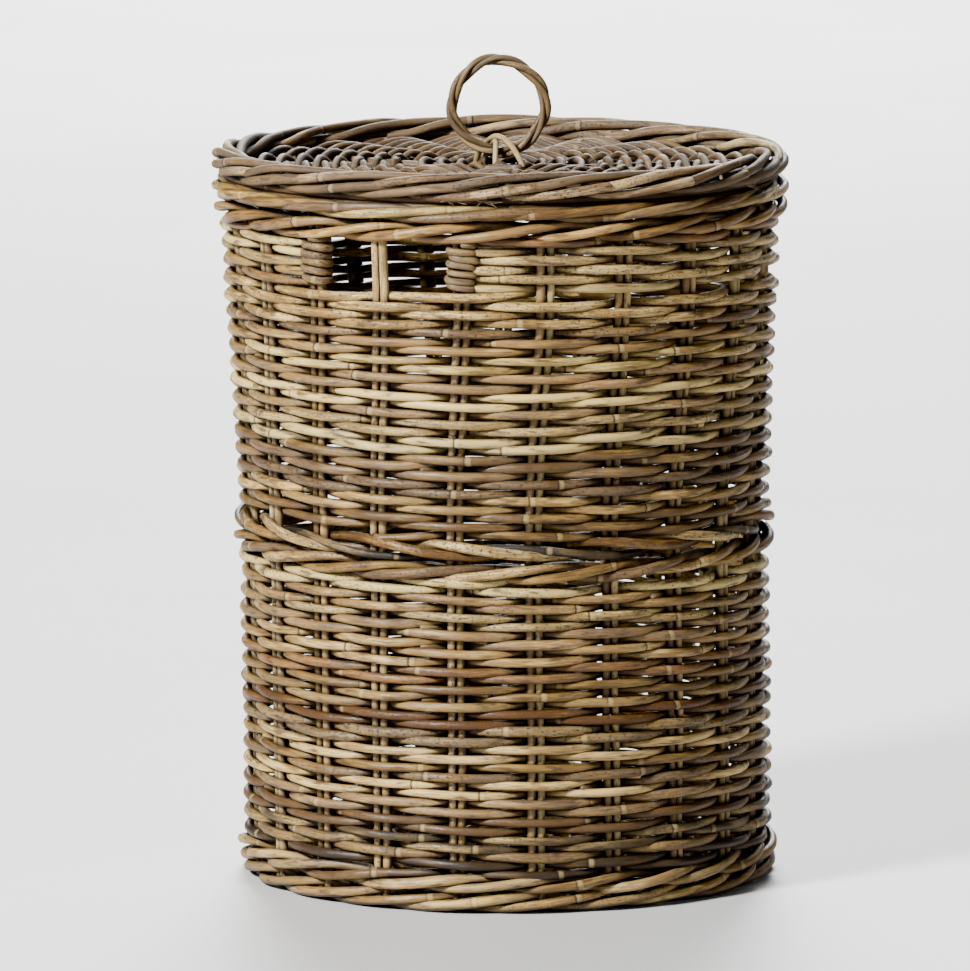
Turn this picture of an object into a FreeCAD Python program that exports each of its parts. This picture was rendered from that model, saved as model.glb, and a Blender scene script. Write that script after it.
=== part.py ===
import FreeCAD, Part
import math
import os
import re
import Sketcher
from FreeCAD import Placement, Rotation, Vector

# A round laundry basket woven from rattan cane, with a lift-off lid and a ring handle.
# +Z is up, the origin is the middle of the foot on the floor, and +X runs along the ring handle.
# The walls, bands and lid are woven in the real basket. Here each is a plain closed solid of its
# true outer shape, with slots where the stakes run through it and bores where the ribs do.

os.makedirs("parts", exist_ok=True)
doc = FreeCAD.newDocument("laundry_basket")

driving_sizes = [
    # heights above the floor
    ("foot_border_top", 16.0),
    ("foot_top", 32.0),
    ("waist_bottom", 271.0),
    ("waist_middle", 290.0),
    ("waist_top", 309.0),
    ("hole_bottom", 514.0),
    ("wall_top", 553.0),
    ("rim_middle", 568.0),
    ("stake_top", 576.0),
    ("rim_top", 583.0),
    ("lid_crest", 606.0),
    # radii of the basket
    ("wall_thickness", 21.4),
    ("lower_radius", 221.0),
    ("upper_radius", 233.0),
    ("foot_radius", 223.0),
    ("foot_inner_radius", 190.0),
    ("foot_rounding", 15.0),
    ("waist_radius", 226.0),
    ("rim_radius", 239.0),
    ("rim_inner_radius", 212.0),
    # upright stakes, which stand in pairs
    ("pair_count", 21.0),
    ("stake_diameter", 7.0),
    ("stake_spacing", 7.5),
    ("stake_play", 0.3),
    # hand holes, each two gaps wide, with a wrapped pair of stakes at either side
    ("hole_angle", -115.3),
    ("back_hole_steps", 11.0),
    ("wrap_half_angle", 3.1),
    ("wrap_play_angle", 0.1),
    ("wrap_play", 0.3),
    # woven discs of the base and the lid, on radial ribs
    ("disc_thickness", 14.0),
    ("disc_play", 0.3),
    ("rib_count", 21.0),
    ("rib_diameter", 8.0),
    ("rib_inner_radius", 34.0),
    ("base_bottom", 9.0),
    # lid
    ("lid_radius", 240.0),
    ("lid_lift_gap", 0.3),
    ("lid_field_radius", 210.0),
    ("lid_field_top", 594.5),
    ("lid_rounding", 7.0),
    ("collar_radius", 206.0),
    ("collar_thickness", 9.0),
    ("collar_bottom", 557.0),
    # ring handle, laid up from three strands
    ("strand_count", 3.0),
    ("ring_radius", 38.0),
    ("strand_diameter", 4.9),
    ("strand_offset", 2.89),
    ("ring_clearance", 0.6),
    # two canes that bind the ring to the lid, one crossing over the other
    ("strap_diameter", 4.4),
    ("strap_turn", 20.0),
    ("lower_strap_radius", 9.3),
    ("upper_strap_radius", 14.2),
]

# sizes worked out from the driving ones
worked_out_sizes = [
    ("pair_pitch", "360 / pair_count"),
    ("wall_inner_radius", "lower_radius - wall_thickness"),
    ("stake_radius", "lower_radius - wall_thickness / 2"),
    ("wall_lean", "(upper_radius - lower_radius) / (wall_top - waist_top)"),
    ("slot_depth", "stake_diameter / 2 + stake_play"),
    ("slot_width", "(stake_spacing + stake_diameter) / 2 + stake_play"),
    ("hole_half_angle", "pair_pitch + wrap_half_angle + wrap_play_angle"),
    ("rib_bore", "rib_diameter + 2 * stake_play"),
    ("base_radius", "foot_inner_radius - disc_play"),
    ("lid_bottom", "rim_top + lid_lift_gap"),
    ("lid_border_inner_radius", "lid_field_radius + disc_play"),
    ("lid_field_bottom", "lid_field_top - disc_thickness"),
    ("ring_half_thickness", "strand_offset + strand_diameter / 2"),
    ("hinge_height", "lid_field_top + ring_clearance + ring_half_thickness"),
    ("ring_height", "hinge_height + ring_radius"),
]

sheet = doc.addObject("Spreadsheet::Sheet", "Sizes")
for row, (alias, value) in enumerate(driving_sizes, start=1):
    sheet.set(f"A{row}", alias)
    sheet.set(f"B{row}", str(value))
    sheet.setAlias(f"B{row}", alias)
for row, (alias, formula) in enumerate(worked_out_sizes, start=len(driving_sizes) + 2):
    sheet.set(f"A{row}", alias)
    sheet.set(f"B{row}", "=" + formula)
    sheet.setAlias(f"B{row}", alias)
doc.recompute()

aliases = {alias for alias, _ in driving_sizes + worked_out_sizes}
edge_tolerance = 0.01  # mm, for telling edges apart by their place
least_cut = 1.0  # mm3, the least that a cut has to take away
subparts = []


def size(formula):
    """The value of a formula written in the sheet's aliases."""
    value = sheet.evalExpression(formula)
    return float(getattr(value, "Value", value))


def bind(thing, prop, formula):
    """Tie a property to a formula, whose aliases are looked up in the sheet."""
    full = re.sub(r"[a-z_]+", lambda word: "Sizes." + word[0] if word[0] in aliases else word[0], formula)
    thing.setExpression(prop, full)


def origin_feature(body, role):
    return next(item for item in body.Origin.OriginFeatures if item.Role == role)


def new_body(name, turn=None):
    """A body for one sub-part, turned about Z where a formula for the angle is given."""
    body = doc.addObject("PartDesign::Body", name)
    body.Label = name
    body.AllowCompound = True
    body.Placement = Placement(Vector(0, 0, 0), Rotation(Vector(0, 0, 1), 0))
    if turn is not None:
        bind(body, "Placement.Rotation.Angle", turn)
    subparts.append(body)
    return body


def new_sketch(body, name, plane, height=None):
    sketch = body.newObject("Sketcher::SketchObject", name)
    sketch.AttachmentSupport = [(origin_feature(body, plane), "")]
    sketch.MapMode = "FlatFace"
    if height is not None:
        bind(sketch, "AttachmentOffset.Base.z", height)
    return sketch


def fix(sketch, kind, places, formula):
    """A dimension of the sketch, tied to a formula."""
    number = sketch.addConstraint(Sketcher.Constraint(kind, *places, size(formula)))
    bind(sketch, f"Constraints[{number}]", formula)


def outline(body, name, plane, corners, height=None):
    """A closed sketch through corners, each of which is two formulas."""
    sketch = new_sketch(body, name, plane, height)
    points = [Vector(size(across), size(along), 0) for across, along in corners]
    for index, point in enumerate(points):
        sketch.addGeometry(Part.LineSegment(point, points[(index + 1) % len(points)]), False)
    for index in range(len(points)):
        following = (index + 1) % len(points)
        sketch.addConstraint(Sketcher.Constraint("Coincident", index, 2, following, 1))
    for index, (across, along) in enumerate(corners):
        fix(sketch, "DistanceX", (-1, 1, index, 1), across)
        fix(sketch, "DistanceY", (-1, 1, index, 1), along)
    return sketch


def circle(body, name, plane, centre, diameter, height):
    """A sketch of one circle, whose centre is two formulas."""
    sketch = new_sketch(body, name, plane, height)
    middle = Vector(size(centre[0]), size(centre[1]), 0)
    sketch.addGeometry(Part.Circle(middle, Vector(0, 0, 1), size(diameter) / 2), False)
    fix(sketch, "DistanceX", (-1, 1, 0, 3), centre[0])
    fix(sketch, "DistanceY", (-1, 1, 0, 3), centre[1])
    fix(sketch, "Diameter", (0,), diameter)
    return sketch


def add_feature(body, kind, name):
    feature = body.newObject(kind, f"{body.Name}_{name}")
    body.Tip = feature
    return feature


def turn_section(body, section, angle=None, kind="PartDesign::Revolution"):
    """Turn a section about Z, right round or through an angle that the XZ plane halves."""
    word = kind.split("::")[1].lower()
    sketch = outline(body, f"{body.Name}_{word}_section", "XZ_Plane", section)
    turned = add_feature(body, kind, word)
    turned.Profile = sketch
    turned.ReferenceAxis = (sketch, ["V_Axis"])
    turned.Angle = 360
    if angle is not None:
        turned.Midplane = True
        bind(turned, "Angle", angle)
    doc.recompute()
    return turned


def repeat_round(body, features, count, angle=None):
    """Repeat features about Z, right round or over an angle."""
    pattern = add_feature(body, "PartDesign::PolarPattern", "round")
    pattern.Originals = features
    pattern.Axis = (origin_feature(body, "Z_Axis"), [""])
    pattern.Angle = 360
    if angle is not None:
        bind(pattern, "Angle", angle)
    bind(pattern, "Occurrences", count)
    doc.recompute()


def check_cut(body, volume_before):
    """Stop if a cut missed its body."""
    if body.Shape.Volume > volume_before - least_cut:
        raise RuntimeError(f"a cut took nothing from {body.Label}")


def loft(body, kind, name, low, high):
    feature = add_feature(body, kind, name)
    feature.Profile = low
    feature.Sections = [high]
    doc.recompute()
    return feature


def leaned(radius, height):
    """The formula of a radius that leans out with the upper wall, at a height above the waist."""
    return f"{radius} + wall_lean * ({height} - waist_top)"


def ring_section(inner, outer, bottom, top):
    return [(inner, bottom), (outer, bottom), (outer, top), (inner, top)]


def leaning_section(bottom, top):
    """The section of the upper wall between two heights."""
    return [
        (leaned("wall_inner_radius", bottom), bottom),
        (leaned("lower_radius", bottom), bottom),
        (leaned("lower_radius", top), top),
        (leaned("wall_inner_radius", top), top),
    ]


def slot_outline(body, name, radius, height):
    """The slot for one pair of stakes, where it crosses the plane at a height."""
    corners = [
        (f"{radius} - slot_depth", "0 - slot_width"),
        (f"{radius} + slot_depth", "0 - slot_width"),
        (f"{radius} + slot_depth", "slot_width"),
        (f"{radius} - slot_depth", "slot_width"),
    ]
    return outline(body, f"{body.Name}_{name}", "XY_Plane", corners, height)


def cut_stake_slots(body, bottom, top, leans=False, everywhere=True):
    """Slots for the stake pairs between two heights, right round or only the one on the section."""
    before = body.Shape.Volume
    low_radius = leaned("stake_radius", bottom) if leans else "stake_radius"
    high_radius = leaned("stake_radius", top) if leans else "stake_radius"
    low = slot_outline(body, "slot_low", low_radius, bottom)
    high = slot_outline(body, "slot_high", high_radius, top)
    slot = loft(body, "PartDesign::SubtractiveLoft", "slot", low, high)
    if everywhere:
        repeat_round(body, [slot], "pair_count")
    check_cut(body, before)


def woven_ring(name, section, bottom, top, leans=False):
    """A band of weave, with slots for the stakes between bottom and top."""
    body = new_body(name, "hole_angle")
    turn_section(body, section)
    cut_stake_slots(body, bottom, top, leans)
    return body


def round_edges(body, base, radius, wanted):
    """Round the edges of a feature that the test picks out."""
    edges = [f"Edge{number}" for number, edge in enumerate(base.Shape.Edges, start=1) if wanted(edge)]
    fillet = add_feature(body, "PartDesign::Fillet", "rounding")
    fillet.Base = (base, edges)
    bind(fillet, "Radius", radius)
    doc.recompute()


def rib_height(bottom):
    return f"{bottom} + disc_thickness / 2"


def woven_disc(name, radius, bottom):
    """A round panel of weave, bored for its radial ribs."""
    body = new_body(name)
    top = f"{bottom} + disc_thickness"
    turn_section(body, ring_section("0", radius, bottom, top))
    before = body.Shape.Volume
    start = "rib_inner_radius - disc_play"
    bore_end = circle(body, f"{name}_bore_end", "YZ_Plane", ("0", rib_height(bottom)),
                      "rib_bore", start)
    bore = add_feature(body, "PartDesign::Pocket", "bore")
    bore.Profile = bore_end
    bore.Reversed = True
    bind(bore, "Length", f"{radius} - rib_inner_radius + 2 * disc_play")
    doc.recompute()
    repeat_round(body, [bore], "rib_count")
    check_cut(body, before)


def radial_ribs(name, radius, bottom):
    """The ribs inside a woven disc, out to its edge."""
    body = new_body(name)
    rib_end = circle(body, f"{name}_end", "YZ_Plane", ("0", rib_height(bottom)),
                     "rib_diameter", "rib_inner_radius")
    rib = add_feature(body, "PartDesign::Pad", "rib")
    rib.Profile = rib_end
    bind(rib, "Length", f"{radius} - rib_inner_radius")
    doc.recompute()
    repeat_round(body, [rib], "rib_count")


def make_foot():
    body = new_body("foot_border")
    section = ring_section("foot_inner_radius", "foot_radius", "0", "foot_border_top")
    ring = turn_section(body, section)
    outer = size("foot_radius") - edge_tolerance

    def is_outer_floor_edge(edge):
        return edge.BoundBox.ZMax < edge_tolerance and edge.BoundBox.XMax > outer

    round_edges(body, ring, "foot_rounding", is_outer_floor_edge)
    section = ring_section("wall_inner_radius", "foot_radius", "foot_border_top", "foot_top")
    woven_ring("foot_wale", section, "foot_border_top", "foot_top")


def make_walls():
    section = ring_section("wall_inner_radius", "lower_radius", "foot_top", "waist_bottom")
    woven_ring("lower_wall", section, "foot_top", "waist_bottom")
    for name, bottom, top in (
        ("waist_wale_lower", "waist_bottom", "waist_middle"),
        ("waist_wale_upper", "waist_middle", "waist_top"),
    ):
        section = ring_section("wall_inner_radius", "waist_radius", bottom, top)
        woven_ring(name, section, bottom, top)
    wall = woven_ring("upper_wall", leaning_section("waist_top", "wall_top"), "waist_top", "wall_top", True)
    cut_hand_holes(wall)


def cut_hand_holes(wall):
    """Cut both hand holes, with room at their sides for the wrapped stakes."""
    before = wall.Shape.Volume
    section = ring_section("foot_inner_radius", "lid_radius", "hole_bottom", "wall_top + wrap_play")
    hole = turn_section(wall, section, "2 * hole_half_angle", "PartDesign::Groove")
    repeat_round(wall, [hole], "2", "back_hole_steps * pair_pitch")
    check_cut(wall, before)


def make_wraps():
    """The canes coiled round the stake pairs at the sides of the hand holes."""
    places = (
        ("hand_hole_wrap_front_left", "hole_angle - pair_pitch"),
        ("hand_hole_wrap_front_right", "hole_angle + pair_pitch"),
        ("hand_hole_wrap_back_right", "hole_angle + (back_hole_steps - 1) * pair_pitch"),
        ("hand_hole_wrap_back_left", "hole_angle + (back_hole_steps + 1) * pair_pitch"),
    )
    bottom = "hole_bottom + wrap_play"
    top = "wall_top - wrap_play"
    for name, turn in places:
        body = new_body(name, turn)
        turn_section(body, leaning_section(bottom, top), "2 * wrap_half_angle")
        cut_stake_slots(body, bottom, top, leans=True, everywhere=False)


def make_rim():
    section = ring_section("rim_inner_radius", "rim_radius", "wall_top", "rim_middle")
    woven_ring("rim_wale", section, "wall_top", "rim_middle", leans=True)
    section = ring_section("rim_inner_radius", "rim_radius", "rim_middle", "rim_top")
    woven_ring("rim_border", section, "rim_middle", "stake_top + stake_play", leans=True)


def make_stakes():
    """Pairs of canes, upright to the waist and leaning out from there to the rim."""
    body = new_body("side_stakes", "hole_angle")
    features = []
    for side, across in (("left", "0 - stake_spacing / 2"), ("right", "stake_spacing / 2")):
        foot = circle(body, f"stake_foot_{side}", "XY_Plane", ("stake_radius", across),
                      "stake_diameter", "foot_border_top")
        upright = add_feature(body, "PartDesign::Pad", f"upright_{side}")
        upright.Profile = foot
        bind(upright, "Length", "waist_top - foot_border_top")
        waist = circle(body, f"stake_waist_{side}", "XY_Plane", ("stake_radius", across),
                       "stake_diameter", "waist_top")
        top = circle(body, f"stake_top_{side}", "XY_Plane", (leaned("stake_radius", "stake_top"), across),
                     "stake_diameter", "stake_top")
        lean = loft(body, "PartDesign::AdditiveLoft", f"lean_{side}", waist, top)
        features += [upright, lean]
    repeat_round(body, features, "pair_count")


def make_lid():
    woven_disc("lid_field", "lid_field_radius", "lid_field_bottom")
    radial_ribs("lid_ribs", "lid_field_radius", "lid_field_bottom")
    wale = new_body("lid_wale")
    turn_section(wale, ring_section("lid_border_inner_radius", "lid_radius", "lid_bottom", "lid_field_top"))
    border = new_body("lid_border")
    section = ring_section("lid_border_inner_radius", "lid_radius", "lid_field_top", "lid_crest")
    ring = turn_section(border, section)
    crest = size("lid_crest") - edge_tolerance
    round_edges(border, ring, "lid_rounding", lambda edge: edge.BoundBox.ZMin > crest)
    collar = new_body("lid_collar")
    inner = "collar_radius - collar_thickness"
    turn_section(collar, ring_section(inner, "collar_radius", "collar_bottom", "lid_field_bottom"))


def make_strap(name, radius, turn):
    """A cane that rises from the lid, bends over the bottom of the ring and goes down again."""
    body = new_body(name, turn)
    path = new_sketch(body, f"{name}_path", "YZ_Plane")
    reach = size(radius)
    low = size("lid_field_top")
    high = size("hinge_height")
    bend = Part.Circle(Vector(0, high, 0), Vector(0, 0, 1), reach)
    path.addGeometry(Part.LineSegment(Vector(-reach, low, 0), Vector(-reach, high, 0)), False)
    path.addGeometry(Part.ArcOfCircle(bend, 0, math.pi), False)
    path.addGeometry(Part.LineSegment(Vector(reach, high, 0), Vector(reach, low, 0)), False)
    path.addConstraint(Sketcher.Constraint("Tangent", 0, 2, 1, 2))
    path.addConstraint(Sketcher.Constraint("Tangent", 1, 1, 2, 1))
    path.addConstraint(Sketcher.Constraint("Vertical", 0))
    path.addConstraint(Sketcher.Constraint("Vertical", 2))
    fix(path, "DistanceX", (-1, 1, 1, 3), "0")
    fix(path, "DistanceY", (-1, 1, 1, 3), "hinge_height")
    fix(path, "Radius", (1,), radius)
    fix(path, "DistanceY", (-1, 1, 0, 1), "lid_field_top")
    fix(path, "DistanceY", (-1, 1, 2, 2), "lid_field_top")
    end = circle(body, f"{name}_end", "XY_Plane", ("0", f"0 - {radius}"),
                 "strap_diameter", "lid_field_top")
    pipe = add_feature(body, "PartDesign::AdditivePipe", "bend")
    pipe.Profile = end
    pipe.Spine = path
    doc.recompute()


def make_ring_handle():
    """Three strands round one ring, whose lowest point is the hinge."""
    count = int(size("strand_count"))
    for number in range(count):
        angle = f"{number} * 360 deg / strand_count"
        strand = doc.addObject("Part::Torus", f"ring_strand_{number + 1}")
        strand.Label = strand.Name
        strand.Placement = Placement(Vector(0, 0, 0), Rotation(Vector(1, 0, 0), 90))
        bind(strand, "Radius1", f"ring_radius + strand_offset * cos({angle})")
        bind(strand, "Radius2", "strand_diameter / 2")
        bind(strand, "Placement.Base.y", f"strand_offset * sin({angle})")
        bind(strand, "Placement.Base.z", "ring_height")
        subparts.append(strand)


def check_and_write():
    """Stop if anything failed, and write one file for each sub-part."""
    doc.recompute()
    for thing in doc.Objects:
        if "Invalid" in thing.State or "Error" in thing.State:
            raise RuntimeError(f"{thing.Name} failed: {thing.State}")
    for subpart in subparts:
        shape = subpart.Shape
        if shape.isNull() or not shape.isValid() or not shape.Solids:
            raise RuntimeError(f"{subpart.Label} has no valid solid")
        print(f"{subpart.Label}: {len(shape.Solids)} solids, {shape.Volume:.0f} mm3, {shape.BoundBox}")
    for subpart in subparts:
        subpart.Shape.exportStep(f"parts/{subpart.Label}.step")


make_foot()
woven_disc("base_panel", "base_radius", "base_bottom")
radial_ribs("base_sticks", "base_radius", "base_bottom")
make_walls()
make_wraps()
make_rim()
make_stakes()
make_lid()
make_strap("handle_strap_lower", "lower_strap_radius", "strap_turn")
make_strap("handle_strap_upper", "upper_strap_radius", "0 - strap_turn")
make_ring_handle()
check_and_write()
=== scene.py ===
import math

import bpy
import numpy as np
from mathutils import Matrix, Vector


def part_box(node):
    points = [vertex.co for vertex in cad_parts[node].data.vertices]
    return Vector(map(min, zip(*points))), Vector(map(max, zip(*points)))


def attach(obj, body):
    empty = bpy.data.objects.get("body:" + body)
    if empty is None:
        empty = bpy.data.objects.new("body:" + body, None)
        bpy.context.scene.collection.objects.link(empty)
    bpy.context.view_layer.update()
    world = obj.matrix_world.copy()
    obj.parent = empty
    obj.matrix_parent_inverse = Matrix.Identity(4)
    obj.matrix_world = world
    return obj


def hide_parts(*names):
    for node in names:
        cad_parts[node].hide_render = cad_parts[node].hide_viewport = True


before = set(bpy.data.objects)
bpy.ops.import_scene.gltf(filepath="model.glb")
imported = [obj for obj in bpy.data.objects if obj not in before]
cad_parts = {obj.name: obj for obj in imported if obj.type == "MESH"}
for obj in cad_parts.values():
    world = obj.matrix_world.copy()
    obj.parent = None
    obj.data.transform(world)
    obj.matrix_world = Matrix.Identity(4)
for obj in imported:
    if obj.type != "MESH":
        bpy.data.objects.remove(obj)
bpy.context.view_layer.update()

# A round laundry basket of rattan cane. Every cane is its own closed tube, laid along the path that it takes
# in the weave. All lengths are metres, and turns are radians unless a name says degrees.

basket = {
    "seed": 2107,
    "pairs": 21,                # pairs of side stakes
    "pairSpacing": 0.0076,      # between the two stakes of a pair
    "stakeRadius": 0.00365,
    "caneRadius": 0.0038,       # a wall weaver
    "unevenDegrees": 0.45,      # how far a pair stands from its even place
    "twistDegrees": -2.9,       # how far the foot is turned from the hand holes
    "straightFoot": 0.280,      # below this height the twist is whole
    "straightTop": 0.532,       # above this height there is none
    "firstPairDegrees": -115.3, # the middle pair of the front hand hole, from +X
    "lean": -0.0125,            # how far it leans along X for each metre of height
    "upright": 0.300,           # the height at which the lean moves nothing
}

dice = np.random.default_rng(basket["seed"])
lowerLow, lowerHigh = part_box("lower_wall")
upperLow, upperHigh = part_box("upper_wall")
holeLow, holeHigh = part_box("hand_hole_wrap_front_left")
pairs = basket["pairs"]
stakeRadius = basket["stakeRadius"]
caneRadius = basket["caneRadius"]
reach = stakeRadius + caneRadius      # from the middle of a stake to the middle of a cane that passes it
lowerStakeCircle = lowerHigh.x - reach - caneRadius
wallLean = (upperHigh.x - lowerHigh.x) / (upperHigh.z - upperLow.z)


def smooth(value):
    value = np.clip(value, 0.0, 1.0)
    return value * value * (3.0 - 2.0 * value)


def wander(at, every, size):
    # a smooth random drift along a cane, with a new value at each step of `every`
    at = (at - at[0]) / every
    knots = dice.normal(0.0, size, int(at[-1]) + 3)
    whole = at.astype(int)
    part = smooth(at - whole)
    return knots[whole] * (1.0 - part) + knots[whole + 1] * part


def evenTurns(first, uneven):
    turns = first + np.arange(pairs) * 2.0 * math.pi / pairs + dice.normal(0.0, uneven, pairs)
    return np.append(turns, turns[0] + 2.0 * math.pi)


wallTurns = evenTurns(math.radians(basket["firstPairDegrees"]), math.radians(basket["unevenDegrees"]))


def turnAt(count, turns=wallTurns):
    # the turn of stake pair `count`, which may be between two pairs and past a whole round
    rounds = np.floor(count / pairs)
    return np.interp(count - rounds * pairs, np.arange(pairs + 1), turns) + rounds * 2.0 * math.pi


def twistAt(height):
    risen = (height - basket["straightFoot"]) / (basket["straightTop"] - basket["straightFoot"])
    return math.radians(basket["twistDegrees"]) * (1.0 - smooth(risen))


def stakeCircle(height):
    return lowerStakeCircle + wallLean * np.clip(height - upperLow.z, 0.0, None)


def onCircle(turn, radius, height):
    turn, radius, height = np.broadcast_arrays(turn, radius, height)
    return np.stack([radius * np.cos(turn), radius * np.sin(turn), height], axis=1)


def onWall(count, height, out):
    return onCircle(turnAt(count) + twistAt(height), stakeCircle(height) + out, height)


cut = {
    "sides": 10,            # of a cane's section
    "fewSides": 8,          # where it is thin or half hidden
    # how far in from a cut end, and the share of the radius there
    "worn": ((0.0, 0.56), (0.0006, 0.86), (0.0017, 1.0)),
    "greySpread": 0.16,
    "mapGap": 0.06,         # share of a strip left free in the bake map
    "capRoom": 0.009,       # room for one cut end in the bake map
    "capFill": 0.4,         # how much of that room its radius takes
}


def newBundle(sides=cut["sides"]):
    return {"sides": sides, "points": [], "tints": [], "along": [], "rings": [], "rounds": []}


def pickTint(tone, spread, grey, dark=0.0):
    # tone from deep to pale, greyness, a number of its own for each cane, and how blackened it is
    return (dice.normal(tone, spread), max(0.0, dice.normal(grey, cut["greySpread"])), dice.random(), dark)


def layCane(bundle, path, radius, tint, across=(0.0, 0.0, 1.0)):
    # across is a direction that the cane never runs along
    path = np.asarray(path, float)
    radius = np.broadcast_to(np.asarray(radius, float), len(path))
    inward, shares = np.array(cut["worn"]).T
    ahead = (path[1] - path[0]) / np.linalg.norm(path[1] - path[0])
    back = (path[-2] - path[-1]) / np.linalg.norm(path[-2] - path[-1])
    head = path[0] + inward[:, None] * ahead
    tail = path[-1] + inward[::-1, None] * back
    path = np.concatenate([head, path[1:-1], tail])
    radius = np.concatenate([radius[0] * shares, radius[1:-1], radius[-1] * shares[::-1]])
    across = np.asarray(across, float)
    if across.ndim == 2:
        worn = len(shares)
        across = np.concatenate([across[:1].repeat(worn, 0), across[1:-1], across[-1:].repeat(worn, 0)])
    else:
        across = np.broadcast_to(across, path.shape)
    heading = np.gradient(path, axis=0)
    heading /= np.linalg.norm(heading, axis=1, keepdims=True)
    side = np.cross(heading, across)
    side /= np.linalg.norm(side, axis=1, keepdims=True)
    over = np.cross(side, heading)
    turn = np.arange(bundle["sides"]) * 2.0 * math.pi / bundle["sides"]
    ring = np.cos(turn)[None, :, None] * over[:, None, :] + np.sin(turn)[None, :, None] * side[:, None, :]
    points = (path[:, None, :] + ring * radius[:, None, None]).reshape(-1, 3)
    points[:, 0] += basket["lean"] * (points[:, 2] - basket["upright"])
    bundle["points"].append(points)
    bundle["tints"].append(np.tile(tint, (len(path) * bundle["sides"], 1)))
    steps = np.linalg.norm(np.diff(path, axis=0), axis=1)
    bundle["along"].append(np.concatenate([[0.0], np.cumsum(steps)]))
    bundle["rings"].append(len(path))
    bundle["rounds"].append(2.0 * math.pi * float(radius.max()))


def makePiece(bundle, name, node, body, skin):
    # turns a bundle of canes into one mesh: the tubes first, then two cut ends for each cane
    sides = bundle["sides"]
    tubes, starts, ends, alongFrom, alongTo, laidFrom = [], [], [], [], [], []
    first, laid = 0, 0.0
    turn = np.arange(sides)
    after = (turn + 1) % sides
    for rings, along in zip(bundle["rings"], bundle["along"]):
        low = first + np.arange(rings - 1)[:, None] * sides
        quads = np.stack([low + turn, low + after, low + sides + after, low + sides + turn], axis=2)
        tubes.append(quads.reshape(-1, 4))
        starts.append(first + turn[::-1])
        ends.append(first + (rings - 1) * sides + turn)
        alongFrom.append(np.repeat(along[:-1], sides))
        alongTo.append(np.repeat(along[1:], sides))
        laidFrom.append(np.full((rings - 1) * sides, laid))
        laid += along[-1]
        first += rings * sides
    tubes = np.concatenate(tubes)
    caps = np.concatenate([np.array(starts), np.array(ends)])
    alongFrom = np.concatenate(alongFrom)
    alongTo = np.concatenate(alongTo)
    laidFrom = np.concatenate(laidFrom)

    mesh = bpy.data.meshes.new(name)
    mesh.from_pydata(np.concatenate(bundle["points"]), [], tubes.tolist() + caps.tolist())
    mesh.polygons.foreach_set("use_smooth", [True] * len(tubes) + [False] * len(caps))
    mesh.polygons.foreach_set("material_index", [0] * len(tubes) + [1] * len(caps))

    around = np.tile(np.stack([turn, turn + 1, turn + 1, turn], axis=1), (len(tubes) // sides, 1)) / sides
    along = np.stack([alongFrom, alongFrom, alongTo, alongTo], axis=1)
    capTurn = np.tile(turn / sides, len(caps))
    skinMap = np.concatenate([np.stack([along, around], axis=2).reshape(-1, 2),
                              np.stack([np.zeros_like(capTurn), capTurn], axis=1)])
    mesh.uv_layers.new(name="caneMap").uv.foreach_set("vector", skinMap.ravel())

    # the bake map lays the canes side by side in strips, and the cut ends in the rows above them
    strip = max(bundle["rounds"]) * (1.0 + cut["mapGap"])
    width = math.sqrt(laid * strip)
    room = width + 2.0 * max(float(np.max(alongTo - alongFrom)), cut["capRoom"])
    at = laidFrom + alongFrom
    row = np.floor(at / width)
    bakeX = np.stack([at - row * width] * 2 + [at - row * width + alongTo - alongFrom] * 2, axis=1)
    bakeY = (row[:, None] + cut["mapGap"] / 2.0 + around * (1.0 - cut["mapGap"])) * strip
    capRoom = cut["capRoom"]
    capRadius = capRoom * cut["capFill"]
    perRow = max(1, int(width / capRoom))
    capAt = np.arange(len(caps))
    angle = 2.0 * math.pi * turn / sides
    capX = (capAt % perRow + 0.5)[:, None] * capRoom + np.cos(angle) * capRadius
    capY = (row.max() + 1.0) * strip + (capAt // perRow + 0.5)[:, None] * capRoom + np.sin(angle) * capRadius
    tall = float(capY.max()) + capRoom
    bakeMap = np.concatenate([np.stack([bakeX / room, bakeY / tall], axis=2).reshape(-1, 2),
                              np.stack([capX / room, capY / tall], axis=2).reshape(-1, 2)])
    mesh.uv_layers.new(name="OFBake").uv.foreach_set("vector", bakeMap.ravel())

    tints = mesh.color_attributes.new("caneTint", "FLOAT_COLOR", "POINT")
    tints.data.foreach_set("color", np.concatenate(bundle["tints"]).ravel())
    mesh.materials.append(skin)
    mesh.materials.append(cutEndSkin)
    mesh.validate()
    piece = bpy.data.objects.new(name, mesh)
    bpy.context.collection.objects.link(piece)
    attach(piece, body)
    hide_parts(node)
    print(f"{name}: {len(bundle['rings'])} canes, {2 * len(tubes) + (sides - 2) * len(caps)} triangles")
    return piece


def put(tree, kind, sockets=None, **settings):
    # adds a node, sets its options, and fills its sockets with a value or a link
    node = tree.nodes.new("ShaderNode" + kind)
    for key, value in settings.items():
        setattr(node, key, value)
    for key, value in (sockets or {}).items():
        if isinstance(value, bpy.types.NodeSocket):
            tree.links.new(value, node.inputs[key])
        else:
            node.inputs[key].default_value = value
    return node


def maths(tree, operation, first, second=0.0, third=0.0):
    return put(tree, "Math", {0: first, 1: second, 2: third}, operation=operation).outputs[0]


def ramp(tree, value, low, high, to=1.0):
    return put(tree, "MapRange", {"Value": value, "From Min": low, "From Max": high, "To Max": to},
               interpolation_type="SMOOTHSTEP").outputs["Result"]


def blendColours(tree, share, first, second, kind="MIX"):
    node = put(tree, "Mix", {"Factor": share}, data_type="RGBA", blend_type=kind, clamp_factor=True)
    colourIn = [s for s in node.inputs if s.type == "RGBA"]
    for socket, value in zip(colourIn, (first, second)):
        if isinstance(value, bpy.types.NodeSocket):
            tree.links.new(value, socket)
        else:
            socket.default_value = value
    return [s for s in node.outputs if s.type == "RGBA"][0]


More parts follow.
